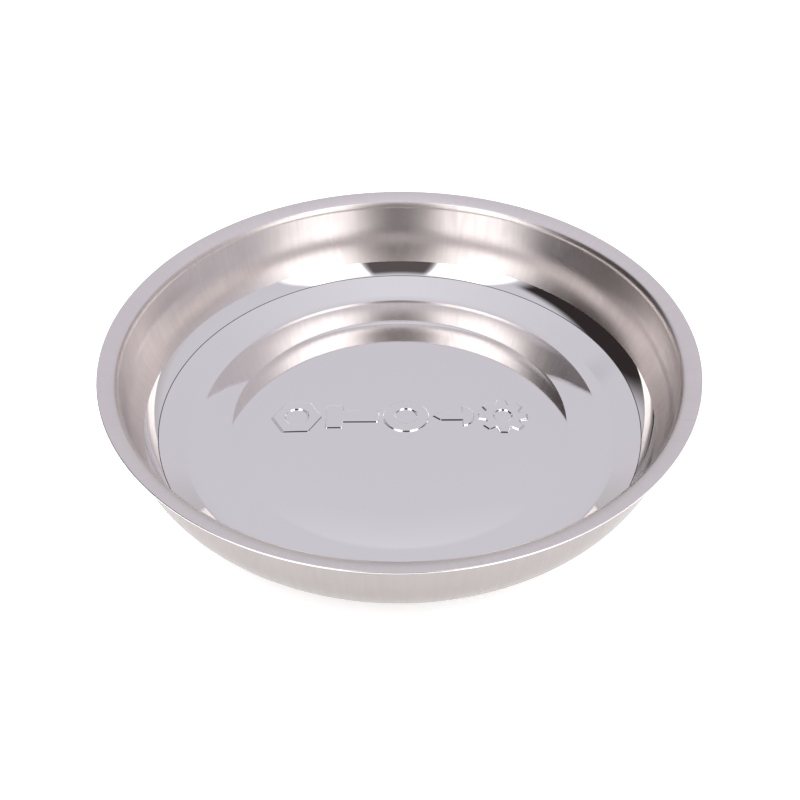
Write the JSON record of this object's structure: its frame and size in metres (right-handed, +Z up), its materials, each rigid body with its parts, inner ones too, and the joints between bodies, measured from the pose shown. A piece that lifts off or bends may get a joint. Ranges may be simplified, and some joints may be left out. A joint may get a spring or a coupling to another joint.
{
  "type": "magnetic parts tray",
  "caption": "Round stainless-steel tray with a flared rim on a rubber-covered ring magnet, for holding small loose parts.",
  "frame": {"origin": "centre of the rubber boot's underside, the face that the tray stands on", "axes": "+Z up along the tray's axis, +X along the row of pressed marks in the floor"},
  "size_m": [0.15, 0.15, 0.0366],
  "materials": {
    "stainless": "satin wall and rim, mirror-polished corner and floor",
    "zinc_steel": "bright zinc plated",
    "ferrite": "matt grey-black sintered ferrite",
    "rubber": "matt black moulded rubber",
    "foam": "matt dark closed-cell foam"
  },
  "bodies": {
    "root": {"dish": "stainless", "weld_stud": "zinc_steel", "foam_pad": "foam", "magnet_cup": "zinc_steel", "ring_magnet": "ferrite", "flat_washer": "zinc_steel", "spring_washer": "zinc_steel", "lock_nut": "zinc_steel", "rubber_boot": "rubber"}
  },
  "joints": []
}
